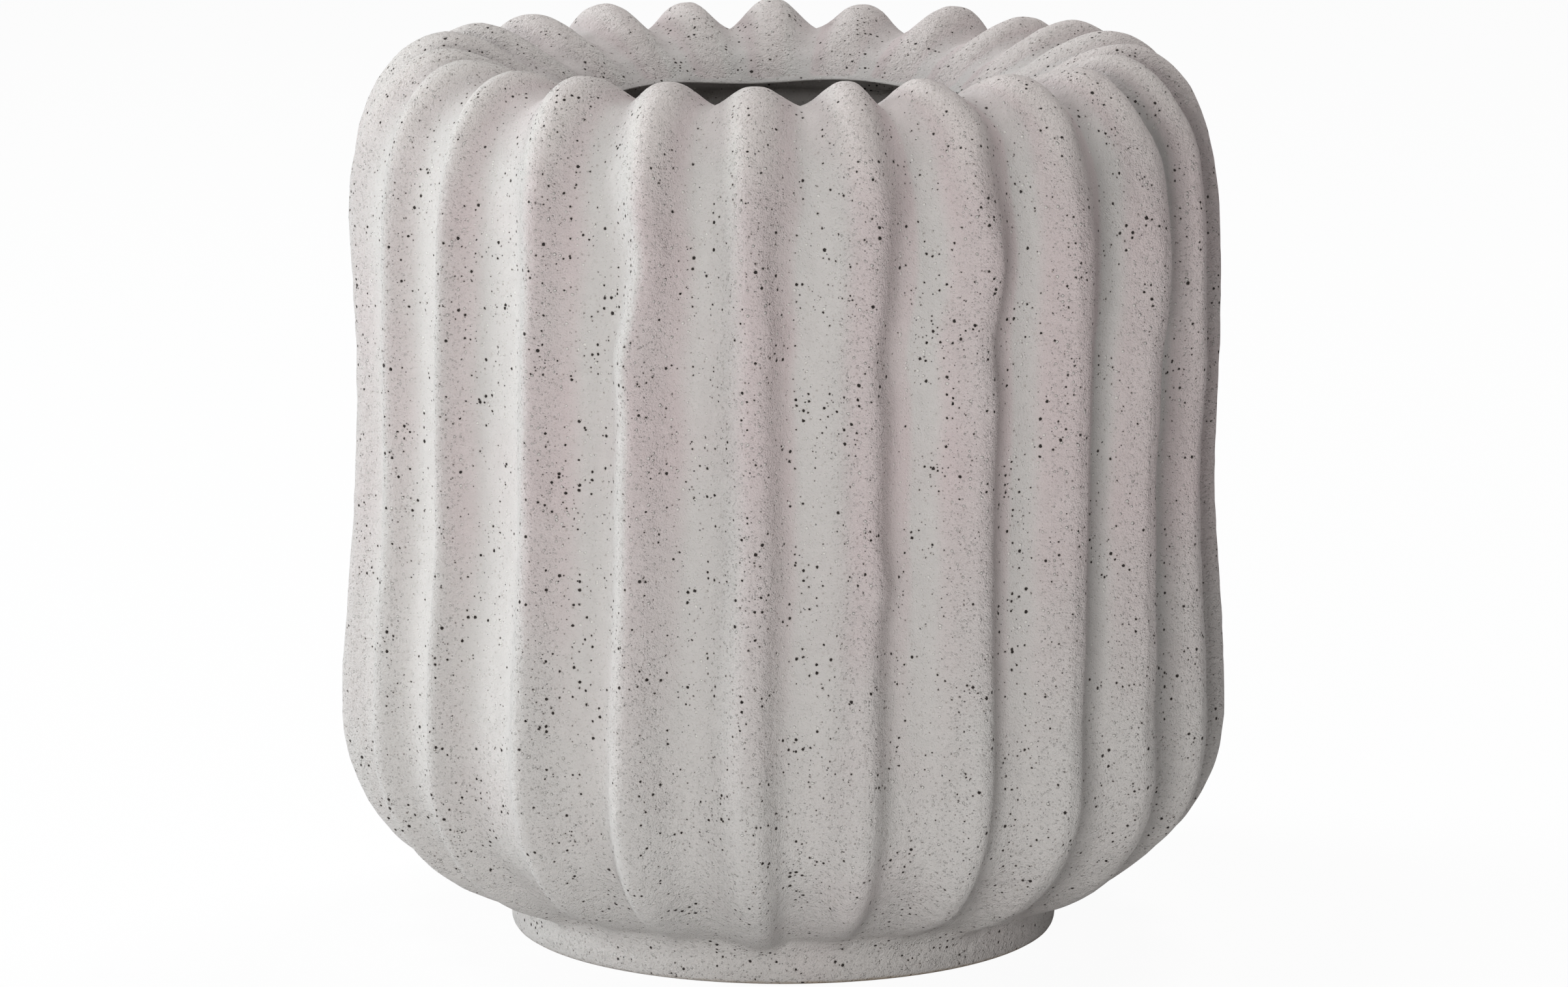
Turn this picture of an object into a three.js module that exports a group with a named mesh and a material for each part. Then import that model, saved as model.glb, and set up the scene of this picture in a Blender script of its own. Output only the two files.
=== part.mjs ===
import * as THREE from 'three'

// Ribbed stoneware flower pot, built the way a potter lays it up.
// Millimetres, +Z up, the foot stands on z = 0 and the front faces -Y.
// Bearings are degrees from the front, turning towards +X.

const height = 290
const ribCount = 23
const firstBearing = -4.5

// the line the rib crests follow, from the foot to the lip
const bellyRadius = 144.2
const bellyHeight = 78
const toeHeight = 12
const lowerRoundness = 2.3
// degrees of the lower corner's curve that the foot cuts off
const lowerStart = 20
const waistPull = 3.4
const shoulderTaper = 0.9
const shoulderHeight = 232
const shoulderWidth = 34
const lipRadius = 70.5
const lipDrop = 21.7
const lipRoll = 1.75

// How far the valleys sink below the crests. Reach is how far a rib spreads over its half pitch
// before it has fallen to a third, and fullness how round its back is.
const sideDepth = 9.6
const toeDepth = 2.4
const browDepth = 8.6
const browDepthSwing = 1
const sideReach = 0.44
const shoulderReach = 0.55
const browReach = 0.68
const sideFullness = 2
const browFullness = 2.5

// clay thicknesses
const ribBed = 2.6
const wallThickness = 5.6
const lipThickness = 2.2
const lipBulge = 0.3
const floorThickness = 11.5
const footRadius = 89.2
const footWidth = 15
const footChamfer = 1.2
const footInset = 0.6

// luting gaps, so that no two pieces share a face
const bedGap = 0.3
const seamGap = 0.3
const footGap = 0.35

const ringSteps = ribCount * 2
const footSteps = 69

// Each rib wanders off its even bearing: degrees at the foot, belly, waist, shoulder and brow.
// Rise is how proud the crest stands at the brow, dip how far the valley after it sinks there,
// breadth how wide the rib is beside the others.
const ribs = [
  { drift: [0.6, 0.1, 0.8, 0.2, -0.1], rise: 0.2, dip: -0.8, breadth: 1.15 },
  { drift: [-1.4, -1.1, -0.5, -0.1, -0.8], rise: 1.6, dip: 0 },
  { drift: [-2.3, -1.4, -1, 0.2, -3.9], rise: 1.3, dip: -1.2 },
  { drift: [-3.8, -3.5, -1.4, -2.2, -2.2], rise: 0.5, dip: 0 },
  { drift: [-0.8, -4.6, -3, -1, -0.6], rise: -0.6, dip: 0 },
  { drift: [-3.4, -4.6, -3.4, -4.6, -1.6], rise: 0, dip: 0 },
  { drift: [-5, -5, -5, -4.5, -1.5], rise: 0, dip: 0 },
  { drift: [-2, -2, -2, -1.5, 0.4], rise: 0, dip: 0, breadth: 1.1 },
  { drift: [-1, -1, -1, -1, -0.5], rise: 0, dip: -0.6 },
  { drift: [-2, -2, -2, -2.4, -3], rise: -1.2, dip: 0.6 },
  { drift: [-2.4, -2.4, -2.4, -2.8, -3], rise: 0, dip: 1.6 },
  { drift: [-2, -2, -2, -2, -1.6], rise: -1, dip: 0 },
  { drift: [-1.6, -1.6, -1.6, -1.4, -1.2], rise: 0.6, dip: 0, breadth: 1.1 },
  { drift: [-2, -2, -2, -2, -1.8], rise: 0, dip: 0 },
  { drift: [-1.6, -1.6, -1.6, -1.8, -2], rise: 1, dip: 0 },
  { drift: [-0.8, -0.8, -0.8, -1, -1.2], rise: 0, dip: 0 },
  { drift: [0, 0, 0, -0.2, -0.4], rise: 0.5, dip: 0 },
  { drift: [1, 1, 1, 0.8, 0.4], rise: 1.5, dip: 0, breadth: 1.2 },
  { drift: [1.6, 1.6, 1.6, 1.8, 1.8], rise: 0, dip: 0, breadth: 1.15 },
  { drift: [1.5, 2.4, 2, 4.6, 1.2], rise: 0, dip: 0, breadth: 0.85 },
  { drift: [-0.5, 0.2, 0.5, 2.6, 1], rise: 0, dip: -0.6, breadth: 0.75 },
  { drift: [0.8, 0.4, 0.8, 2.4, 1], rise: 0.8, dip: 0 },
  { drift: [-0.7, -0.1, 0.2, 2.4, 1], rise: 1, dip: -0.8 },
]
const driftStops = [0, 0.3, 0.55, 0.78, 1]

// Places where a hand nudged a rib sideways: rib counted from 0, share of the climb, reach and degrees.
const nudges = [
  { rib: 0, at: 0.72, reach: 0.03, by: 0.8 },
  { rib: 1, at: 0.48, reach: 0.03, by: 0.9 },
  { rib: 1, at: 0.7, reach: 0.045, by: -0.9 },
  { rib: 1, at: 0.86, reach: 0.04, by: 0.9 },
  { rib: 2, at: 0.71, reach: 0.045, by: -1.6 },
  { rib: 2, at: 0.93, reach: 0.04, by: 2.2 },
  { rib: 3, at: 0.93, reach: 0.04, by: 1.2 },
  { rib: 4, at: 0.31, reach: 0.05, by: -1 },
  { rib: 4, at: 0.67, reach: 0.04, by: -1.2 },
  { rib: 4, at: 0.87, reach: 0.04, by: 1.4 },
  { rib: 5, at: 0.63, reach: 0.06, by: 1.8 },
  { rib: 5, at: 0.87, reach: 0.04, by: 1.8 },
  { rib: 22, at: 0.7, reach: 0.045, by: -1.2 },
  { rib: 22, at: 0.8, reach: 0.03, by: 0.6 },
]

// The left side is pinched in at the waist and the right side at the shoulder.
const leftPinchHeight = 212
const leftPinchReach = 44
const leftPinchPull = 3.9
const leftSwellHeight = 80
const leftSwellReach = 26
const leftSwellPush = 0.8
const rightPinchHeight = 240
const rightPinchReach = 32
const rightPinchPull = 2.9
// Low on the right the clay is tucked in over the foot.
const rightTuckHeight = 34
const rightTuckReach = 12
const rightTuckPull = 2.5

const pinches = [
  { bearing: -90, spread: 24, height: leftPinchHeight, reach: leftPinchReach, pull: leftPinchPull },
  { bearing: -90, spread: 24, height: leftSwellHeight, reach: leftSwellReach, pull: -leftSwellPush },
  { bearing: 94, spread: 24, height: rightPinchHeight, reach: rightPinchReach, pull: rightPinchPull },
  { bearing: 71, spread: 8, height: rightTuckHeight, reach: rightTuckReach, pull: rightTuckPull },
]

const lipWaves = 7
const lipWaveHeight = 0.8
const lipWaveTurn = 163

const turn = Math.PI / 180

function ease(t) {
  return t * t * (3 - 2 * t)
}

function along(stops, values, t) {
  for (let i = 1; i < stops.length; i++) {
    if (t <= stops[i]) {
      const part = (t - stops[i - 1]) / (stops[i] - stops[i - 1])
      return values[i - 1] + (values[i] - values[i - 1]) * ease(Math.max(part, 0))
    }
  }
  return values[values.length - 1]
}

const toeRadius = footRadius + footGap
const shoulderRadius = bellyRadius - shoulderTaper
const browRadius = shoulderRadius - shoulderWidth

// Crest line in four lengths: 0 to 1 lower corner, to 2 side, to 3 shoulder, to 4 inner slope.
function crest(s) {
  const part = s - Math.min(Math.floor(s), 3)
  if (s < 1) {
    const power = 2 / lowerRoundness
    const start = lowerStart * turn
    const angle = start + (90 * turn - start) * part
    const cut = Math.sin(start) ** power
    const out = (Math.sin(angle) ** power - cut) / (1 - cut)
    const drop = (Math.cos(angle) / Math.cos(start)) ** power
    return [toeRadius + (bellyRadius - toeRadius) * out, bellyHeight - (bellyHeight - toeHeight) * drop]
  }
  if (s < 2) {
    return [
      bellyRadius + (shoulderRadius - bellyRadius) * part - waistPull * Math.sin(180 * turn * part) ** 2,
      bellyHeight + (shoulderHeight - bellyHeight) * part,
    ]
  }
  if (s < 3) {
    const angle = part * 90 * turn
    return [
      browRadius + (shoulderRadius - browRadius) * Math.cos(angle),
      shoulderHeight + (height - shoulderHeight) * Math.sin(angle),
    ]
  }
  return [
    browRadius - (browRadius - lipRadius) * part,
    height - lipDrop * part ** lipRoll,
  ]
}

function outward(s) {
  const step = 0.02
  const before = crest(Math.max(s - step, 0))
  const after = crest(Math.min(s + step, 4))
  const dr = after[0] - before[0]
  const dz = after[1] - before[1]
  const length = Math.hypot(dr, dz)
  return [dz / length, -dr / length]
}

const depthStops = [0, 0.45, 1, 2, 2.45, 3, 3.3, 3.6, 3.82, 4]
const depthValues = [
  toeDepth, sideDepth * 0.8, sideDepth, sideDepth, sideDepth,
  browDepth, browDepth * 0.74, browDepth * 0.36, browDepth * 0.06, 0,
]

function depthAt(s) {
  return along(depthStops, depthValues, s)
}

// how high the section of a rib stands: 1 on its crest, 0 in the valleys at side -1 and 1
function swellAt(side, s, breadth) {
  const reach = along([0, 2, 2.5, 3], [sideReach, sideReach, shoulderReach, browReach], s) * breadth
  const fullness = along([0, 2.3, 3], [sideFullness, sideFullness, browFullness], s)
  const valley = Math.exp(-((1 / reach) ** fullness))
  return (Math.exp(-((Math.abs(side) / reach) ** fullness)) - valley) / (1 - valley)
}

// the five drift stops are spread over the rib by true length
const lengths = [0]
for (let i = 1; i <= 300; i++) {
  const a = crest((i - 1) / 100)
  const b = crest(i / 100)
  lengths.push(lengths[i - 1] + Math.hypot(b[0] - a[0], b[1] - a[1]))
}

function climb(s) {
  const index = Math.min(Math.round(s * 100), 300)
  return lengths[index] / lengths[300]
}

// the ribs go round in a closed loop, so the one before the first is the last
function ribData(k) {
  const index = (k + ribCount) % ribCount
  return ribs[index % ribs.length]
}

function centre(k, s) {
  const climbed = climb(s)
  const even = firstBearing + (360 / ribCount) * k
  let bearing = even + along(driftStops, ribData(k).drift, climbed)
  for (const nudge of nudges) {
    if (nudge.rib === (k + ribCount) % ribCount) {
      bearing += nudge.by * Math.exp(-(((climbed - nudge.at) / nudge.reach) ** 2))
    }
  }
  return bearing
}

function valley(k, s) {
  return (centre(k, s) + centre(k + 1, s)) / 2
}

function bearingGap(a, b) {
  return ((a - b + 540) % 360 + 360) % 360 - 180
}

function pinchAt(bearing, z, s) {
  let pull = 0
  for (const p of pinches) {
    const aside = bearingGap(bearing, p.bearing) / p.spread
    const off = (z - p.height) / p.reach
    pull += p.pull * Math.exp(-aside * aside - off * off)
  }
  return pull * along([0, 2.4, 3, 4], [1, 1, 0, 0], s)
}

function browShare(s) {
  return along([0, 2, 2.5, 3, 3.8], [0, 0, 1, 1, 0], s)
}

// A point on rib k at station s, with side from -1 (valley before) to +1 (valley after).
function ribSurface(k, s, side) {
  const [r, z] = crest(s)
  const [nr, nz] = outward(s)
  const { breadth = 1 } = ribData(k)
  const shape = swellAt(side, s, breadth)
  const middle = centre(k, s)
  const edge = side < 0 ? valley(k - 1, s) : valley(k, s)
  const bearing = middle + (edge - middle) * Math.abs(side)
  const share = browShare(s)
  const dip = ribData(side < 0 ? k - 1 : k).dip
  const depth = depthAt(s) - share * browDepthSwing * Math.cos(bearing * turn) + share * dip
  const rise = ribData(k).rise * share * shape
  const off = depth * (shape - 1) + rise - pinchAt(bearing, z, s) * (0.3 + 0.7 * shape)
  return { bearing, r: r + nr * off, z: z + nz * off }
}

// the even surface the ribs are bedded on, under the deepest valley
const deepest = browDepthSwing + Math.max(...ribs.map((rib) => rib.dip))

function bed(s, extra) {
  const [r, z] = crest(s)
  const [nr, nz] = outward(s)
  const off = depthAt(s) + browShare(s) * deepest + ribBed + extra
  return [r - nr * off, z - nz * off]
}

function place(r, z, bearing) {
  return [r * Math.sin(bearing * turn), -r * Math.cos(bearing * turn), z]
}

function solid(points, faces) {
  const geometry = new THREE.BufferGeometry()
  geometry.setAttribute('position', new THREE.Float32BufferAttribute(points.flat(), 3))
  geometry.setIndex(faces.flat())
  geometry.computeVertexNormals()
  return geometry
}

function skin(loops, spans) {
  const n = loops[0].length
  const faces = []
  for (let i = 0; i < spans; i++) {
    const a = i * n
    const b = ((i + 1) % loops.length) * n
    for (let j = 0; j < n; j++) {
      const k = (j + 1) % n
      faces.push([a + j, a + k, b + k], [a + j, b + k, b + j])
    }
  }
  return faces
}

// Closes the end of a rib: its outer row of points runs one way, its under row runs back.
function cap(first, across, under) {
  const faces = []
  const last = first + across + under - 1
  let i = 0
  let j = 0
  while (i < across - 1 || j < under - 1) {
    const stepOver = j === under - 1 || (i + 0.5) / (across - 1) < (j + 0.5) / (under - 1)
    if (stepOver) {
      faces.push([first + i, first + i + 1, last - j])
      i += 1
    } else {
      faces.push([first + i, last - j - 1, last - j])
      j += 1
    }
  }
  return faces
}

// Turns a closed section of [radius, height] points into a ring.
function ring(section, steps) {
  const loops = []
  for (let i = 0; i < steps; i++) {
    const bearing = -(360 / steps) * i
    loops.push(section(bearing).map(([r, z]) => place(r, z, bearing)))
  }
  return solid(loops.flat(), skin(loops, steps))
}

const clay = new THREE.Color(0.51, 0.49, 0.47)
const group = new THREE.Group()
group.name = 'flower_pot'

function add(name, geometry, shade = 1) {
  const color = clay.clone().multiplyScalar(shade)
  const material = new THREE.MeshStandardMaterial({ color, roughness: 0.95 })
  material.name = name.startsWith('rib') ? 'rib_clay' : name + '_clay'
  const mesh = new THREE.Mesh(geometry, material)
  mesh.name = name
  group.add(mesh)
}

// Stations along the crest line, the last one where the ribs run out above the lip.
const ribEnd = 3.82
const stations = [
  0, 0.2, 0.4, 0.6, 0.8, 1, 1.25, 1.5, 1.75, 2, 2.25, 2.47, 2.66, 2.84, 3, 3.22, 3.44, 3.64, ribEnd,
]
const joint = 2

// Foot ring
const [bedRadius, bedBottom] = bed(0, bedGap)
const floorTop = bedBottom + wallThickness
const floorBottom = floorTop - floorThickness
const footHeight = floorBottom - bedGap
const footInner = footRadius - footWidth
const footSection = [
  [footInner + footChamfer, 0],
  [footRadius - footInset - footChamfer, 0],
  [footRadius - footInset, footChamfer],
  [footRadius, footHeight * 0.4],
  [footRadius, footHeight],
  [footInner, footHeight],
  [footInner, footChamfer],
]
add('foot_ring', ring(() => footSection, footSteps), 0.97)

// Floor slab, bedded on the foot ring
const floorRadius = bedRadius - bedGap
const floorSection = [
  [0, floorBottom],
  [floorRadius, floorBottom],
  [floorRadius, floorTop],
  [0, floorTop],
]
const slab = new THREE.LatheGeometry(floorSection.map(([r, z]) => new THREE.Vector2(r, z)), footSteps)
slab.rotateX(Math.PI / 2)
add('floor_slab', slab, 0.98)

// Body wall, coiled up from the edge of the floor slab to the shoulder
const wallOuter = stations.filter((s) => s < joint).map((s) => bed(s, bedGap))
const jointPoint = bed(joint, bedGap)
wallOuter.push([jointPoint[0], jointPoint[1] - seamGap])
const wallInner = stations.filter((s) => s < joint && s > 0).map((s) => bed(s, bedGap + wallThickness))
const jointInner = bed(joint, bedGap + wallThickness)
const wallFoot = [bedRadius, floorTop]
const wallSection = [...wallOuter, [jointInner[0], jointPoint[1] - seamGap], ...wallInner.reverse(), wallFoot]
add('body_wall', ring(() => wallSection, ringSteps), 0.98)

// Mouth collar, rolled in over the mouth from the shoulder to the cut lip
const collarStations = stations.filter((s) => s >= joint)
const crowded = [2.84, 3.22]
const afterEnd = ribEnd + seamGap / (browRadius - lipRadius)
const lipHeight = height - lipDrop

function collarSection(bearing) {
  const wave = lipWaveHeight * Math.cos((bearing - lipWaveTurn) * lipWaves * turn)
  const seat = [...collarStations, afterEnd].map((s) => bed(s, bedGap))
  const slope = [afterEnd, 3.91, 3.98].map((s) => {
    const [r, z] = crest(s)
    return [r, z + (wave * (s - afterEnd)) / (4 - afterEnd)]
  })
  const nose = [
    [lipRadius - lipBulge, lipHeight - lipThickness * 0.3 + wave],
    [lipRadius, lipHeight - lipThickness * 0.6 + wave],
    [lipRadius + lipThickness * 0.4, lipHeight - lipThickness + wave],
  ]
  const under = collarStations.filter((s) => !crowded.includes(s)).reverse()
  return [...seat, ...slope, ...nose, ...under.map((s) => bed(s, bedGap + wallThickness))]
}
add('mouth_collar', ring(collarSection, ringSteps), 0.99)

// Ribs, laid side by side from the foot over the shoulder to the lip
const sides = [-1, -0.7, -0.44, -0.2, 0, 0.2, 0.44, 0.7, 1]
const bedSlack = 1 / Math.cos((108 / ribCount) * turn) - 1

function ribLoop(k, s) {
  const outer = sides.map((side) => ribSurface(k, s, side))
  const before = outer[0]
  const after = outer[outer.length - 1]
  const seam = seamGap / 2 / before.r / turn
  before.bearing += seam
  after.bearing -= seam
  const [r, z] = bed(s, 0)
  const underRadius = r * (1 + bedSlack * outward(s)[0])
  const under = [after.bearing, centre(k, s), before.bearing]
  return [
    ...outer.map((p) => place(p.r, p.z, p.bearing)),
    ...under.map((bearing) => place(underRadius, z, bearing)),
  ]
}

for (let k = 0; k < ribCount; k++) {
  const loops = stations.map((s) => ribLoop(k, s))
  const across = sides.length
  const bottom = cap(0, across, 3).map(([a, b, c]) => [a, c, b])
  const top = cap((stations.length - 1) * (across + 3), across, 3)
  const faces = [...skin(loops, stations.length - 1), ...bottom, ...top]
  add('rib_' + String(k + 1).padStart(2, '0'), solid(loops.flat(), faces))
}

export default group
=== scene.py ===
import math

import bmesh
import bpy
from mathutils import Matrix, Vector, noise


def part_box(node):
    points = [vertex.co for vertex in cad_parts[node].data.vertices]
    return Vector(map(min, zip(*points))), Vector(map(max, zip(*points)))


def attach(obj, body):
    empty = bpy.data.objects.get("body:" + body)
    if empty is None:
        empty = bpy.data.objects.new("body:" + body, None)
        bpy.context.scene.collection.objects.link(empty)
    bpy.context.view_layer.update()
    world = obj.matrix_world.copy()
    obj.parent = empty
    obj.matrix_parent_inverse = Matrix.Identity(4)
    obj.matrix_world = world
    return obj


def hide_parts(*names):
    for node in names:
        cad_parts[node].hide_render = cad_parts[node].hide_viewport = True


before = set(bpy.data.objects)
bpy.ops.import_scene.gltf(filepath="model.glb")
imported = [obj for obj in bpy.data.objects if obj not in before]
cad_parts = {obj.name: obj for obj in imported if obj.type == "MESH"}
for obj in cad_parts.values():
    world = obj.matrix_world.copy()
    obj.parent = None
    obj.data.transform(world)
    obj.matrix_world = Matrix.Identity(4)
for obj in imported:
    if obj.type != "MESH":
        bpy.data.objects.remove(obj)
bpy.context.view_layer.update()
scene = bpy.context.scene
scene.view_settings.view_transform = "Standard"
millimetre = 0.001
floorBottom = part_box("floor_slab")[0].z / millimetre
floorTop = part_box("floor_slab")[1].z / millimetre
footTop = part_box("foot_ring")[1].z / millimetre

print("frame loaded:", len(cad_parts), "clay pieces")

# Shape of the pot in millimetres and degrees, as the solids have it.
# Bearings run from the front (-Y) towards +X.
pot = {
    "height": 290,
    "firstBearing": -4.5,
    "bellyRadius": 144.2,
    "bellyHeight": 78,
    "toeHeight": 12,
    "lowerRoundness": 2.3,
    "lowerStart": 20,
    "waistPull": 3.4,
    "shoulderTaper": 0.9,
    "shoulderHeight": 232,
    "shoulderWidth": 34,
    "lipRadius": 70.5,
    "lipDrop": 21.7,
    "lipRoll": 1.75,
    "sideDepth": 9.6,
    "toeDepth": 2.4,
    "browDepth": 8.6,
    "browDepthSwing": 1,
    "sideReach": 0.44,
    "shoulderReach": 0.55,
    "browReach": 0.68,
    "sideFullness": 2,
    "browFullness": 2.5,
    "ribBed": 2.6,
    "wallThickness": 5.6,
    "bedGap": 0.3,
    "footRadius": 89.2,
    "footWidth": 15,
    "footGap": 0.35,
    "lipWaves": 7,
    "lipWaveHeight": 0.8,
    "lipWaveTurn": 163,
}
toeRadius = pot["footRadius"] + pot["footGap"]
shoulderRadius = pot["bellyRadius"] - pot["shoulderTaper"]
browRadius = shoulderRadius - pot["shoulderWidth"]

# Each rib: how far it wanders off its even bearing from foot to brow, how proud its crest
# stands at the brow, how far the valley after it sinks there, and how wide it is beside the others.
ribs = [
    ([0.6, 0.1, 0.8, 0.2, -0.1], 0.2, -0.8, 1.15),
    ([-1.4, -1.1, -0.5, -0.1, -0.8], 1.6, 0, 1),
    ([-2.3, -1.4, -1, 0.2, -3.9], 1.3, -1.2, 1),
    ([-3.8, -3.5, -1.4, -2.2, -2.2], 0.5, 0, 1),
    ([-0.8, -4.6, -3, -1, -0.6], -0.6, 0, 1),
    ([-3.4, -4.6, -3.4, -4.6, -1.6], 0, 0, 1),
    ([-5, -5, -5, -4.5, -1.5], 0, 0, 1),
    ([-2, -2, -2, -1.5, 0.4], 0, 0, 1.1),
    ([-1, -1, -1, -1, -0.5], 0, -0.6, 1),
    ([-2, -2, -2, -2.4, -3], -1.2, 0.6, 1),
    ([-2.4, -2.4, -2.4, -2.8, -3], 0, 1.6, 1),
    ([-2, -2, -2, -2, -1.6], -1, 0, 1),
    ([-1.6, -1.6, -1.6, -1.4, -1.2], 0.6, 0, 1.1),
    ([-2, -2, -2, -2, -1.8], 0, 0, 1),
    ([-1.6, -1.6, -1.6, -1.8, -2], 1, 0, 1),
    ([-0.8, -0.8, -0.8, -1, -1.2], 0, 0, 1),
    ([0, 0, 0, -0.2, -0.4], 0.5, 0, 1),
    ([1, 1, 1, 0.8, 0.4], 1.5, 0, 1.2),
    ([1.6, 1.6, 1.6, 1.8, 1.8], 0, 0, 1.15),
    ([1.5, 2.4, 2, 4.6, 1.2], 0, 0, 0.85),
    ([-0.5, 0.2, 0.5, 2.6, 1], 0, -0.6, 0.75),
    ([0.8, 0.4, 0.8, 2.4, 1], 0.8, 0, 1),
    ([-0.7, -0.1, 0.2, 2.4, 1], 1, -0.8, 1),
]
driftStops = [0, 0.3, 0.55, 0.78, 1]

# where a hand nudged a rib sideways: rib, share of the climb, reach, degrees
nudges = [
    (0, 0.72, 0.03, 0.8), (1, 0.48, 0.03, 0.9), (1, 0.7, 0.045, -0.9), (1, 0.86, 0.04, 0.9),
    (2, 0.71, 0.045, -1.6), (2, 0.93, 0.04, 2.2), (3, 0.93, 0.04, 1.2), (4, 0.31, 0.05, -1),
    (4, 0.67, 0.04, -1.2), (4, 0.87, 0.04, 1.4), (5, 0.63, 0.06, 1.8), (5, 0.87, 0.04, 1.8),
    (22, 0.7, 0.045, -1.2), (22, 0.8, 0.03, 0.6),
]

# pinched places: bearing, spread, height, reach, pull
pinches = [
    (-90, 24, 212, 44, 3.9),
    (-90, 24, 80, 26, -0.8),
    (94, 24, 240, 32, 2.9),
    (71, 8, 30, 10, 1.6),  # gentler than in the solids
]

# what only the finished clay shows, and where mauve is painted as warm shade
finish = {
    "stepsPerRib": 22,
    "crestGather": 0.55,  # how far the columns of points close up near a crest
    "footFillet": 7.6,
    "footSeam": 4.8,
    "lumpSize": 34,
    "lumpHeight": 0.4,
    "lumpSeed": 3.7,
    "fingerSize": 13,
    "fingerHeight": 0.22,
    "fingerSeed": 11.3,
    "crestSize": 5.5,
    "crestHeight": 0.26,
    "crestSeed": 5.1,
    "lumpsFrom": 20,  # the height at which the lumps are full
    # The mauve below is painted warm shade: on the right flanks of crests, over nearly whole ribs on
    # the right side, less on the left side that the cool lamps light.
    "tintShift": 0.15,  # how far past a crest the painted warm shade is strongest on the left side
    "tintStart": -0.48,  # where in a rib the painted warm shade sets in, is full and ends on the right side
    "tintFull": -0.12,
    "tintEnd": 0.36,
    "tintRight": 0.35,
    "tintLeft": (0.4, 0.9),
    "tintLeftLoss": 0.5,
    "toeFade": 0.75,
    "toeReach": 0.4,
}

# ribs that lean: how wide and how full their left and right sides are
leans = {
    19: (0.75, 2.6, 1.1, 2),
    20: (0.95, 2, 1.15, 2),
    21: (0.85, 2, 1.3, 2),
    22: (0.85, 3.2, 1.35, 2),
    0: (1.25, 2, 0.92, 3),
    1: (1.2, 2, 0.95, 2.8),
    2: (1.1, 2, 1.05, 3.3),
    3: (1.1, 2, 1.2, 3.6),
    4: (1.1, 2, 1.25, 4),
    5: (0.95, 2, 1.2, 3.6),
    6: (0.75, 2, 1.1, 2.6),
}
fadingRibs = (21, 22, 1, 2)  # ribs that run out before they meet the foot


def ease(t):
    return t * t * (3 - 2 * t)


def upFrom(low, high, t):
    return ease(min(max((t - low) / (high - low), 0), 1))


# the value at t, eased from stop to stop
def along(stops, values, t):
    for i in range(1, len(stops)):
        if t <= stops[i]:
            part = max((t - stops[i - 1]) / (stops[i] - stops[i - 1]), 0)
            return values[i - 1] + (values[i] - values[i - 1]) * ease(part)
    return values[-1]


# Crest line in four lengths: 0 to 1 lower corner, to 2 side, to 3 shoulder, to 4 inner slope.
def crest(s):
    part = s - min(math.floor(s), 3)
    quarter = math.radians(90 * part)
    belly = pot["bellyRadius"]
    if s < 1:
        power = 2 / pot["lowerRoundness"]
        start = math.radians(pot["lowerStart"])
        angle = start + (math.radians(90) - start) * part
        cut = math.sin(start) ** power
        out = (math.sin(angle) ** power - cut) / (1 - cut)
        drop = (math.cos(angle) / math.cos(start)) ** power
        rise = pot["bellyHeight"] - pot["toeHeight"]
        return toeRadius + (belly - toeRadius) * out, pot["bellyHeight"] - rise * drop
    if s < 2:
        pull = pot["waistPull"] * math.sin(math.pi * part) ** 2
        return (
            belly + (shoulderRadius - belly) * part - pull,
            pot["bellyHeight"] + (pot["shoulderHeight"] - pot["bellyHeight"]) * part,
        )
    if s < 3:
        return (
            browRadius + (shoulderRadius - browRadius) * math.cos(quarter),
            pot["shoulderHeight"] + (pot["height"] - pot["shoulderHeight"]) * math.sin(quarter),
        )
    return (
        browRadius - (browRadius - pot["lipRadius"]) * part,
        pot["height"] - pot["lipDrop"] * part ** pot["lipRoll"],
    )


# the direction straight out of the crest line, as radius and height
def outward(s):
    before = crest(max(s - 0.02, 0))
    after = crest(min(s + 0.02, 4))
    dr, dz = after[0] - before[0], after[1] - before[1]
    length = math.hypot(dr, dz)
    return dz / length, -dr / length


# how deep the valleys lie under the crests
def depthAt(s):
    toe, side, brow = pot["toeDepth"], pot["sideDepth"], pot["browDepth"]
    stops = [0, 0.45, 1, 2, 2.45, 3, 3.3, 3.6, 3.82, 4]
    depths = [toe, side * 0.8, side, side, side, brow, brow * 0.74, brow * 0.36, brow * 0.06, 0]
    return along(stops, depths, s)


# 1 at the brow, 0 on the side and at the lip
def browShareAt(s):
    return along([0, 2, 2.5, 3, 3.8], [0, 0, 1, 1, 0], s)


# how far up the crest line each hundredth of its first three lengths lies
perLength = 100
browStep = 3 * perLength
lengths = [0]
for i in range(1, browStep + 1):
    a, b = crest((i - 1) / perLength), crest(i / perLength)
    lengths.append(lengths[-1] + math.hypot(b[0] - a[0], b[1] - a[1]))


# crests go out further than valleys in lumps and pinched places
def crestWeight(shape):
    return 0.3 + 0.7 * shape


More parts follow.
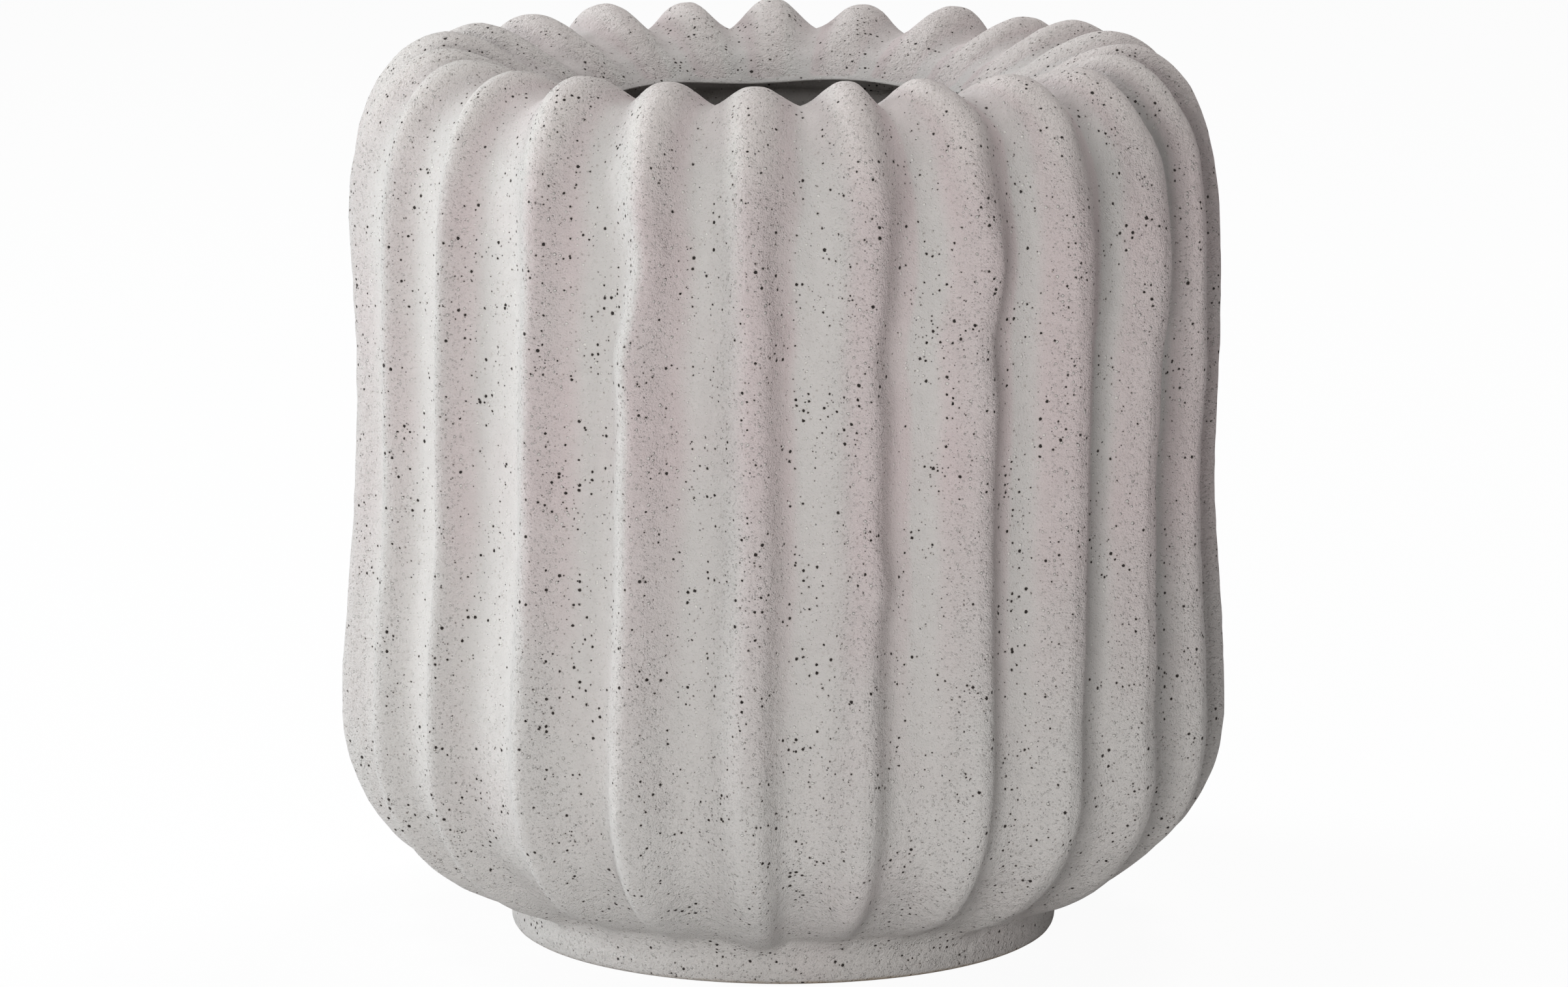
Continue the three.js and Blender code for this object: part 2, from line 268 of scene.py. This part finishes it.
# everything that is the same all round the pot at one height of the crest line
class Station:
    def __init__(self, s):
        self.s = s
        self.r, self.z = crest(s)
        self.nr, self.nz = outward(s)
        self.depth = depthAt(s)
        side, shoulder, brow = pot["sideReach"], pot["shoulderReach"], pot["browReach"]
        self.reach = along([0, 2, 2.5, 3], [side, side, shoulder, brow], s)
        side, brow = pot["sideFullness"], pot["browFullness"]
        self.fullness = along([0, 2.3, 3], [side, side, brow], s)
        self.browShare = browShareAt(s)
        self.fade = finish["toeFade"] * (1 - ease(min(s / finish["toeReach"], 1)))
        self.pinchShare = along([0, 2.4, 3, 4], [1, 1, 0, 0], s)
        climb = lengths[min(round(s * perLength), browStep)] / lengths[browStep]
        pitch = 360 / len(ribs)
        self.centres = []
        for k, rib in enumerate(ribs):
            self.centres.append(pot["firstBearing"] + pitch * k + along(driftStops, rib[0], climb))
        for k, at, reach, by in nudges:
            self.centres[k] += by * math.exp(-(((climb - at) / reach) ** 2))

    # the bearing of a crest, counted on round the pot
    def centre(self, k):
        turns, index = divmod(k, len(ribs))
        return self.centres[index] + 360 * turns

    # where is 0 on the first crest, 1 on the next one, and so on round the pot
    def bearingAt(self, where):
        k = math.floor(where)
        part = where - k
        low, high = self.centre(k), self.centre(k + 1)
        return low + (high - low) * part

    # 1 on a crest, 0 in the valleys half a pitch away
    def shapeAt(self, where):
        near = round(where)
        index = near % len(ribs)
        lean = leans.get(index, (1, self.fullness) * 2)
        width, full = lean[:2] if where < near else lean[2:]
        leanShare = 1 - self.browShare
        reach = self.reach * ribs[index][3] * (1 + (width - 1) * leanShare)
        fullness = self.fullness + (full - self.fullness) * leanShare
        valley = math.exp(-((1 / reach) ** fullness))
        swell = math.exp(-((2 * abs(where - near) / reach) ** fullness))
        return (swell - valley) / (1 - valley)

    # the radius, height and bearing of a place, and how near a crest it is
    def point(self, where):
        index = round(where) % len(ribs)
        proud = ribs[index][1]
        dip = ribs[math.floor(where) % len(ribs)][2]
        bearing = self.bearingAt(where)
        shape = self.shapeAt(where)
        swing = pot["browDepthSwing"] * math.cos(math.radians(bearing))
        depth = self.depth + self.browShare * (dip - swing)
        kept = 1 - self.fade if index in fadingRibs else 1
        off = depth * (shape * kept - 1) + proud * self.browShare * shape
        off -= self.pinch(bearing) * crestWeight(shape)
        return self.r + self.nr * off, self.z + self.nz * off, bearing, shape

    # painted warm shade as a share of mauve: just past a crest on the left, nearly the whole rib on
    # the right
    def paintedWarmShadeAt(self, where, bearing):
        past = self.shapeAt(where - finish["tintShift"])
        across = where - round(where)
        whole = upFrom(finish["tintStart"], finish["tintFull"], across)
        whole *= 1 - upFrom(finish["tintEnd"], 0.5, across)
        side = math.sin(math.radians(bearing))
        share = past + (whole - past) * upFrom(0, finish["tintRight"], side)
        return share * (1 - finish["tintLeftLoss"] * upFrom(*finish["tintLeft"], -side))

    # how far a pinched place goes in
    def pinch(self, bearing):
        pull = 0
        for middle, spread, height, reach, most in pinches:
            aside = ((bearing - middle + 180) % 360 - 180) / spread
            up = (self.z - height) / reach
            pull += most * math.exp(-aside * aside - up * up)
        return pull * self.pinchShare


# the even surface inside the ribs, and extra millimetres further in
def inside(s, extra):
    r, z = crest(s)
    nr, nz = outward(s)
    deepest = pot["browDepthSwing"] + max(rib[2] for rib in ribs)
    off = depthAt(s) + browShareAt(s) * deepest + pot["ribBed"] + extra
    return r - nr * off, z - nz * off


def lipWave(bearing):
    turned = math.radians((bearing - pot["lipWaveTurn"]) * pot["lipWaves"])
    return pot["lipWaveHeight"] * math.cos(turned)


# smooth unevenness from -1 to 1, of the kind lump, finger or crest
def wobble(point, kind):
    size, seed = finish[kind + "Size"], finish[kind + "Seed"]
    x, y, z = point.x / size + seed, point.y / size - seed, point.z / size + 2 * seed
    return noise.noise(Vector((x, y, z)))


# Spins a section of (radius, height) points about the pot's axis.
def spun(section, steps, closed=True):
    bm = bmesh.new()
    points = [bm.verts.new((0, -r, z)) for r, z in section]
    pairs = list(zip(points, points[1:]))
    if closed:
        pairs.append((points[-1], points[0]))
    edges = [bm.edges.new(pair) for pair in pairs]
    bmesh.ops.spin(
        bm,
        geom=points + edges,
        cent=(0, 0, 0),
        axis=(0, 0, 1),
        angle=2 * math.pi,
        steps=steps,
        use_merge=True,
        use_duplicate=False,
    )
    bmesh.ops.remove_doubles(bm, verts=bm.verts, dist=0.001)
    return bm


# Keeps the ring of edges at one level hard, so that two pieces meet there without a shaded line.
def hardRing(bm, level):
    for edge in bm.edges:
        if all(abs(vert.co.z - level) < 0.01 for vert in edge.verts):
            edge.smooth = False


# Turns a bmesh in millimetres into a finished piece that stands for some of the solids.
def piece(name, bm, material, stoodFor):
    bmesh.ops.recalc_face_normals(bm, faces=bm.faces)
    for face in bm.faces:
        face.smooth = True
    bmesh.ops.scale(bm, vec=(millimetre,) * 3, verts=bm.verts)
    mesh = bpy.data.meshes.new(name)
    bm.to_mesh(mesh)
    bm.free()
    made = bpy.data.objects.new(name, mesh)
    scene.collection.objects.link(made)
    made.data.materials.append(material)
    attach(made, "root")
    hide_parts(*stoodFor)
    print(name, len(mesh.polygons), "faces")


# A socket that takes part in sums
class Wire:
    def __init__(self, socket):
        self.socket = socket
        self.tree = socket.id_data

    @classmethod
    def node(cls, tree, kind, settings, sockets, out=0):
        made = tree.nodes.new(kind)
        for name, value in settings.items():
            setattr(made, name, value)
        for name, value in sockets.items():
            if isinstance(value, Wire):
                tree.links.new(value.socket, made.inputs[name])
            else:
                made.inputs[name].default_value = value
        return cls(made.outputs[out])

    def out(self, name):
        return Wire(self.socket.node.outputs[name])

    def maths(self, operation, first, second, clamp=False):
        settings = {"operation": operation, "use_clamp": clamp}
        return Wire.node(self.tree, "ShaderNodeMath", settings, {0: first, 1: second})

    def __add__(self, other):
        return self.maths("ADD", self, other)

    __radd__ = __add__

    def __mul__(self, other):
        return self.maths("MULTIPLY", self, other)

    __rmul__ = __mul__

    def __sub__(self, other):
        return self.maths("SUBTRACT", self, other)

    def __rsub__(self, other):
        return self.maths("SUBTRACT", other, self)

    def __pow__(self, other):
        return self.maths("POWER", self, other)

    def clamp(self):
        return self.maths("ADD", self, 0.0, clamp=True)

    # 0 below low, 1 above high, soft between
    def step(self, low, high):
        settings = {"interpolation_type": "SMOOTHSTEP"}
        sockets = {"Value": self, "From Min": low, "From Max": high}
        return Wire.node(self.tree, "ShaderNodeMapRange", settings, sockets)

    def largest(self, other):
        return self.maths("MAXIMUM", self, other)

    # the first colour where this is 0, the second where it is 1
    def mixed(self, first, second):
        settings = {"data_type": "RGBA"}
        return Wire.node(self.tree, "ShaderNodeMix", settings, {0: self, 6: first, 7: second}, out=2)

    def vector(self, operation, other):
        settings = {"operation": operation}
        second = "Scale" if operation == "SCALE" else 1
        return Wire.node(self.tree, "ShaderNodeVectorMath", settings, {0: self, second: other})


def colour(red, green, blue):
    def linear(value):
        value /= 255
        return value / 12.92 if value <= 0.04045 else ((value + 0.055) / 1.055) ** 2.4

    return linear(red), linear(green), linear(blue), 1


# Speckled stoneware: all sizes in millimetres, colours as they look on screen.
clay = {
    "valley": (189, 185, 182),
    # the mauve: painted warm shade on shaded flanks, also mixed in at the brow and in random clouds
    "crest": (190, 178, 177),
    "speck": (44, 40, 38),
    "speckHalo": (128, 112, 100),
    "grain": (222, 219, 213),
    "bare": (158, 144, 127),
    "roughness": 0.95,
    "specular": 0.2,
    "cloudSize": 46,
    "cloudStrength": 1.2,
    "mottleSize": 5.0,
    "mottleStrength": 0.14,
    "crowdSize": 11,
    "crowdBand": (0.32, 0.62),
    "crowdLeast": 0.45,
    "crowdSwing": 0.7,
    "raggedSize": 0.5,
    "raggedPush": 0.5,
    "fineDarkness": 0.85,
    "haloStrength": 0.25,
    "speckPit": 0.08,
    "crumbPaleness": 0.7,
    "crumbLump": 0.6,
    "grainPaleness": 0.6,
    "grainHeight": 0.48,
    "sandSize": 0.6,
    "sandHeight": 0.2,
    "pasteSize": 3,
    "pasteHeight": 0.36,
    "coarseBand": (0.05, 0.7),  # sandier on the crests
    "coarseHeights": (40, 110),  # and low down
    "coarseStrength": 0.75,
    # painted warm shade: which part of the attribute counts, weaker low down, and how strong
    "tintBand": (0.15, 0.75),
    "tintHeights": (60, 180),
    "tintStrength": 0.9,
    "inwardHeights": (262, 285),  # more mauve at the brow and lip, by height
    "inwardTint": 0.5,
    # paler on the crests at the brow: band of the crest shape, heights, strength
    "browPaleBand": (0.3, 0.9),
    "browPaleHeights": (250, 282),
    "browPaleness": 0.35,
    "bareHeights": (0.2, 1.7),
    "bareSway": 1.6,
    "bareAcross": (-60, 20),  # from left to right, where the bare edge grows
    "bareLeast": 0.2,
}

# what is strewn in the clay: how far apart, least and most radius, and how rare the large ones are
strewn = {
    "speck": (2.1, 0.2, 0.57, 2.0),
    "fineSpeck": (1.7, 0.12, 0.3, 1.6),
    "grain": (1.8, 0.12, 0.52, 2.4),
    "crumb": (0.95, 0.06, 0.3, 1.6),
}


def noiseAt(tree, spot, size, detail=2.0, rough=0.5):
    sockets = {"Vector": spot, "Scale": 1 / size, "Detail": detail, "Roughness": rough}
    return Wire.node(tree, "ShaderNodeTexNoise", {}, sockets)


# How deep in millimetres a place lies inside the nearest of the round spots of one kind.
def spots(tree, spot, kind, amount):
    spacing, least, most, rarity = strewn[kind]
    sockets = {"Vector": spot, "Scale": 1 / spacing}
    cells = Wire.node(tree, "ShaderNodeTexVoronoi", {}, sockets, out="Distance")
    chance = Wire.node(tree, "ShaderNodeSeparateColor", {}, {0: cells.out("Color")})
    radius = (chance ** rarity * (most - least) + least) * amount
    return radius - cells * spacing


def attributeOf(tree, name):
    return Wire.node(tree, "ShaderNodeAttribute", {"attribute_name": name}, {}, out="Fac")


def speckledClay(name, sandy):
    made = bpy.data.materials.new(name)
    made.use_nodes = True
    tree = made.node_tree
    shader = tree.nodes["Principled BSDF"]
    place = Wire.node(tree, "ShaderNodeTexCoord", {}, {}, out="Object")
    spot = place.vector("SCALE", 1 / millimetre)
    across = Wire.node(tree, "ShaderNodeSeparateXYZ", {}, {0: spot}, out="X")
    height = across.out("Z")
    raised = attributeOf(tree, "crest")
    paintedWarmShade = attributeOf(tree, "paintedWarmShade")

    # ragged outlines for everything that is strewn in the clay
    ragged = noiseAt(tree, spot, clay["raggedSize"]).out("Color")
    push = ragged.vector("SUBTRACT", (0.5, 0.5, 0.5)).vector("SCALE", clay["raggedPush"])
    torn = spot.vector("ADD", push)

    # dark specks stand closer in some places than in others
    crowds = noiseAt(tree, spot, clay["crowdSize"], 1.0).step(*clay["crowdBand"])
    crowding = crowds * clay["crowdSwing"] + clay["crowdLeast"]
    dark = spots(tree, torn, "speck", crowding)
    fine = spots(tree, torn, "fineSpeck", crowding)
    grain = spots(tree, torn, "grain", 1.0)
    crumbs = spots(tree, torn, "crumb", 1.0)
    core = dark.step(0.0, 0.14).largest(fine.step(-0.02, 0.1) * clay["fineDarkness"])
    halo = dark.step(-0.35, 0.1)
    pale = grain.step(-0.04, 0.1).largest(crumbs.step(-0.02, 0.08) * clay["crumbPaleness"])
    lumps = grain.step(-0.12, 0.22) + crumbs.step(-0.1, 0.14) * clay["crumbLump"]

    # grey clay, mauve as painted warm shade where the attribute says, more mauve at the brow, and in
    # soft clouds
    clouds = (noiseAt(tree, spot, clay["cloudSize"], 3.0) - 0.5) * clay["cloudStrength"]
    inward = height.step(*clay["inwardHeights"]) * clay["inwardTint"]
    tinted = paintedWarmShade.step(*clay["tintBand"]).largest(inward) * height.step(*clay["tintHeights"])
    mauve = (tinted * clay["tintStrength"] + clouds).clamp()
    base = mauve.mixed(colour(*clay["valley"]), colour(*clay["crest"]))

    # paler crests at the brow, a fine mottle, and the bare edge that the foot stands on
    browPaleness = raised.step(*clay["browPaleBand"]) * height.step(*clay["browPaleHeights"])
    paledAtBrow = (browPaleness * clay["browPaleness"]).mixed(base, colour(*clay["grain"]))
    mottle = noiseAt(tree, spot, clay["mottleSize"], 3.0, 0.6) - 0.5
    shaded = paledAtBrow.vector("SCALE", mottle * clay["mottleStrength"] + 1.0)
    sanded = (pale * clay["grainPaleness"]).mixed(shaded, colour(*clay["grain"]))
    bare = 1 - (height + mottle * clay["bareSway"]).step(*clay["bareHeights"])
    bare = bare * (across.step(*clay["bareAcross"]) * (1 - clay["bareLeast"]) + clay["bareLeast"])
    edged = bare.mixed(sanded, colour(*clay["bare"]))
    stained = (halo * clay["haloStrength"]).mixed(edged, colour(*clay["speckHalo"]))
    speckled = core.mixed(stained, colour(*clay["speck"]))
    tree.links.new(speckled.socket, shader.inputs["Base Color"])

    # sand, paste and grains as relief, stronger on the crests and low down
    low = 1 - height.step(*clay["coarseHeights"])
    coarse = (raised.step(*clay["coarseBand"]) + low).clamp() * clay["coarseStrength"] + sandy
    sand = noiseAt(tree, spot, clay["sandSize"], 2.0, 0.6) * clay["sandHeight"] * 2
    paste = noiseAt(tree, spot, clay["pasteSize"], 3.0, 0.6) * clay["pasteHeight"] * 2
    relief = (sand + paste + lumps * clay["grainHeight"]) * coarse - core * clay["speckPit"]
    bump = Wire.node(tree, "ShaderNodeBump", {}, {"Height": relief * millimetre, "Distance": 1.0})
    tree.links.new(bump.socket, shader.inputs["Normal"])
    shader.inputs["Roughness"].default_value = clay["roughness"]
    shader.inputs["Specular IOR Level"].default_value = clay["specular"]
    return made


potClay = speckledClay("ribbed_clay", 0.5)
footClay = speckledClay("foot_clay", 0.7)
floorClay = speckledClay("floor_clay", 0.3)
print("clay mixed")

# Ribbed body: its section runs up the outside, over the lip, down the inside and back under the floor.
footRadius = pot["footRadius"]
fillet = finish["footFillet"]
joinStation = 0.0
while crest(joinStation)[0] < footRadius + fillet:
    joinStation += 0.001
stations = []
for low, high, count in [(joinStation, 1, 34), (1, 2, 48), (2, 3, 36), (3, 4, 18)]:
    stations += [Station(low + (high - low) * i / count) for i in range(count)]
joint = Station(joinStation)
dive = -joint.nr / joint.nz  # how steeply the underside comes down to the foot
lastStation = Station(4)
lipHeight = pot["height"] - pot["lipDrop"]
seam = finish["footSeam"]


# from the underside of the ribs round to the upright foot
def filletPoint(r, z, part):
    bend = fillet * 0.55
    level = joint.z - fillet
    ends = (r, z), (r - bend, z - bend * dive), (footRadius, level + bend), (footRadius, level)
    weights = ((1 - part) ** 3, 3 * part * (1 - part) ** 2, 3 * part * part * (1 - part), part**3)
    return tuple(sum(weight * end[i] for weight, end in zip(weights, ends)) for i in (0, 1))


# each row of points has a kind and what that kind needs
filletSteps = 12
rows = [
    ("hidden", (footRadius - 2.6, floorTop + 0.03)),
    ("hidden", (footRadius - 1, floorTop + 0.03)),
    ("hidden", (footRadius - 1, seam + 0.6)),
    ("seam", seam),
]
rows += [("fillet", 1 - i / filletSteps) for i in range(filletSteps)]
rows += [("rib", station) for station in stations]
lipTurn = [
    (0, 0), (-0.1, -0.14), (-0.06, -0.32), (0.2, -0.5),
    (0.9, -0.66), (2, -0.72), (3.6, -0.7), (6, -0.5),
]
rows += [("lip", step) for step in lipTurn]
underside = [3.94 - 0.94 * i / 8 for i in range(9)] + [2.9 - 0.9 * i / 8 for i in range(9)]
underside += [1.85 - 0.15 * i for i in range(6)] + [1 - 0.1 * i for i in range(10)]
inner = [inside(s, pot["bedGap"] + pot["wallThickness"]) for s in underside]
lowest = floorTop + 0.5
rows += [("inner", (r, max(z, lowest))) for r, z in inner if r > pot["lipRadius"] + 8]
rows += [("inner", (footRadius + 3, lowest)), ("inner", (footRadius - 2.6, floorTop + 0.2))]

# the body is spun as a plain cone with one row of points a millimetre, then each row goes to its place
firstRing = 60
topLevel = 500
bm = spun([(firstRing + i, topLevel - i) for i in range(len(rows))], len(ribs) * finish["stepsPerRib"])
# the painted warm shade and the crest shape each go into an attribute of their own
paintedWarmShade = bm.verts.layers.float.new("paintedWarmShade")
raised = bm.verts.layers.float.new("crest")
gather = finish["crestGather"] / (2 * math.pi)
waveStart = 3.83  # where on the inner slope the lip's wave sets in
for vert in bm.verts:
    radius = math.hypot(vert.co.x, vert.co.y)
    kind, data = rows[round(radius - firstRing)]
    where = (math.degrees(math.atan2(vert.co.x, -vert.co.y)) % 360) / 360 * len(ribs)
    where -= gather * math.sin(2 * math.pi * where)  # closer columns near the crests
    shape = tinted = 0
    away = None
    if kind == "rib":
        r, z, bearing, shape = data.point(where)
        # mauve share that paints warm shade onto this place
        tinted = data.paintedWarmShadeAt(where, bearing)
        away = (data.nr, data.nz)
        if data.s > waveStart:
            z += lipWave(bearing) * (data.s - waveStart) / (4 - waveStart)
    elif kind == "fillet":
        r, z, bearing, shape = joint.point(where)
        r, z = filletPoint(r, z, data)
        shape *= 1 - data
    elif kind == "seam":
        bearing = joint.bearingAt(where)
        r, z = footRadius, data
    else:
        bearing = lastStation.bearingAt(where)
        r, z = data
        if kind == "lip":
            r, z = pot["lipRadius"] + r, lipHeight + z + lipWave(bearing)
    turned = math.radians(bearing)
    spot = Vector((r * math.sin(turned), -r * math.cos(turned), z))
    if kind != "hidden":
        lump = wobble(spot, "lump") * finish["lumpHeight"]
        lump += wobble(spot, "finger") * finish["fingerHeight"]
        lump += wobble(spot, "crest") * finish["crestHeight"] * crestWeight(shape)
        lump *= upFrom(seam, finish["lumpsFrom"], z)
        nr, nz = away or (1, 0)
        spot += Vector((nr * math.sin(turned), -nr * math.cos(turned), nz)) * lump
    vert.co = spot
    vert[raised] = shape
    vert[paintedWarmShade] = tinted
hardRing(bm, seam)
ribNodes = [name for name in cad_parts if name.startswith("rib_")]
piece("ribbed_body", bm, potClay, ["body_wall", "mouth_collar"] + ribNodes)

# Foot ring, whose upright side carries on under the body's edge
footSteps = 345
footInner = footRadius - pot["footWidth"]
underFloor = floorBottom - 0.1
outerFoot = [
    (-1.6, footTop), (-1.6, seam + 0.4), (-0.4, seam + 0.05), (0, seam), (-0.04, 3.4),
    (-0.15, 2.4), (-0.42, 1.4), (-0.9, 0.62), (-1.7, 0.14), (-2.8, 0),
]
innerFoot = [
    (2.4, 0), (1.4, 0.2), (0.6, 0.8), (0.1, 1.8), (0, 3.2), (0, 8), (0, underFloor), (6, underFloor),
]
footSection = [(footRadius + out, z) for out, z in outerFoot]
footSection += [(footInner + out, z) for out, z in innerFoot]
bm = spun(footSection, footSteps)
for vert in bm.verts:
    level = vert.co.z
    lump = wobble(vert.co, "lump") * 0.5 * upFrom(0.3, 3, level) * (1 - upFrom(2.8, seam - 0.2, level))
    vert.co += Vector((vert.co.x, vert.co.y, 0)).normalized() * lump
hardRing(bm, seam)
piece("foot", bm, footClay, ["foot_ring"])

# Floor, its edge under the wall's inner foot
floorSteps = 138
floorEdge = footRadius - 1.1
floorBevel = 0.8
floorSection = [(out, floorBottom) for out in (0, 40, floorEdge - floorBevel)]
floorSection += [(floorEdge, floorBottom + floorBevel)]
floorSection += [(out, floorTop) for out in (floorEdge, 60, 40, 20, 0)]
bm = spun(floorSection, floorSteps, closed=False)
piece("floor", bm, floorClay, ["floor_slab"])


# 1 where the camera sees the studio, straight on or in a gloss, and 0 where the studio lights the pot
def seenDirectly(tree):
    path = Wire.node(tree, "ShaderNodeLightPath", {}, {}, out="Is Camera Ray")
    return (path + path.out("Is Glossy Ray") + path.out("Is Transmission Ray")).clamp()


# A matte grey that the camera sees as plain white
def studioWhite(name, white, grey):
    made = bpy.data.materials.new(name)
    made.use_nodes = True
    tree = made.node_tree
    shader = tree.nodes["Principled BSDF"]
    shader.inputs["Base Color"].default_value = (grey, grey, grey, 1)
    shader.inputs["Roughness"].default_value = 1
    shader.inputs["Specular IOR Level"].default_value = 0
    glow = Wire.node(tree, "ShaderNodeEmission", {}, {"Strength": 1.0})
    sockets = {0: seenDirectly(tree) * white, 1: Wire(shader.outputs[0]), 2: glow}
    lit = Wire.node(tree, "ShaderNodeMixShader", {}, sockets)
    tree.links.new(lit.socket, tree.nodes["Material Output"].inputs["Surface"])
    return made


studio = {
    "floorSize": 6,
    "floorWhite": 0.95,
    "floorGrey": 0.86,
    "ambient": 0.01,
}
bm = bmesh.new()
bmesh.ops.create_grid(bm, x_segments=1, y_segments=1, size=studio["floorSize"])
mesh = bpy.data.meshes.new("studio_floor")
bm.to_mesh(mesh)
bm.free()
paint = studioWhite("studio_white", studio["floorWhite"], studio["floorGrey"])
studioFloor = bpy.data.objects.new("studio_floor", mesh)
studioFloor.data.materials.append(paint)
scene.collection.objects.link(studioFloor)

world = bpy.data.worlds.new("studio_air")
scene.world = world
world.use_nodes = True
air = world.node_tree
strength = seenDirectly(air) * (1 - studio["ambient"]) + studio["ambient"]
air.nodes["Background"].inputs["Color"].default_value = (1, 1, 1, 1)
air.links.new(strength.socket, air.nodes["Background"].inputs["Strength"])

# lamps stand round the pot: bearing, degrees up, distance, size in metres, power in watts, colour
lamps = {
    "front_window": (-12, 6, 3, 0.9, 54, (1, 1, 1)),
    "left_window": (-99, 10, 3, 0.9, 60, (0.9, 0.965, 1)),
    "left_bounce": (-102, 38, 3, 0.9, 18, (0.93, 0.975, 1)),
    "ceiling": (-85, 71, 3, 0.9, 29, (0.97, 0.99, 1)),
    "back_wall": (150, 60, 3, 0.9, 38, (1, 1, 1)),
    "right_bounce": (74, 10, 3, 0.9, 6, (1, 0.96, 0.96)),
}
middle = Vector((0, 0, 0.15))
for name, (bearing, up, distance, size, power, tone) in lamps.items():
    light = bpy.data.lights.new(name, "AREA")
    light.shape = "SQUARE"
    light.size = size
    light.energy = power
    light.color = tone
    lamp = bpy.data.objects.new(name, light)
    turned, tilted = math.radians(bearing), math.radians(up)
    level = math.cos(tilted)
    aim = Vector((math.sin(turned) * level, -math.cos(turned) * level, math.sin(tilted)))
    lamp.location = middle + aim * distance
    lamp.rotation_euler = (-aim).to_track_quat("-Z", "Y").to_euler()
    scene.collection.objects.link(lamp)
print("studio lit")

view = {
    "lens": 167.0,
    "sensor": 36,
    "place": (0.0002, -2.327, 0.588),
    "down": 10.85,
}
camera = bpy.data.cameras.new("camera")
camera.lens = view["lens"]
camera.sensor_width = view["sensor"]
stand = bpy.data.objects.new("camera", camera)
stand.location = view["place"]
stand.rotation_euler = (math.radians(90 - view["down"]), 0, 0)
scene.collection.objects.link(stand)
scene.camera = stand
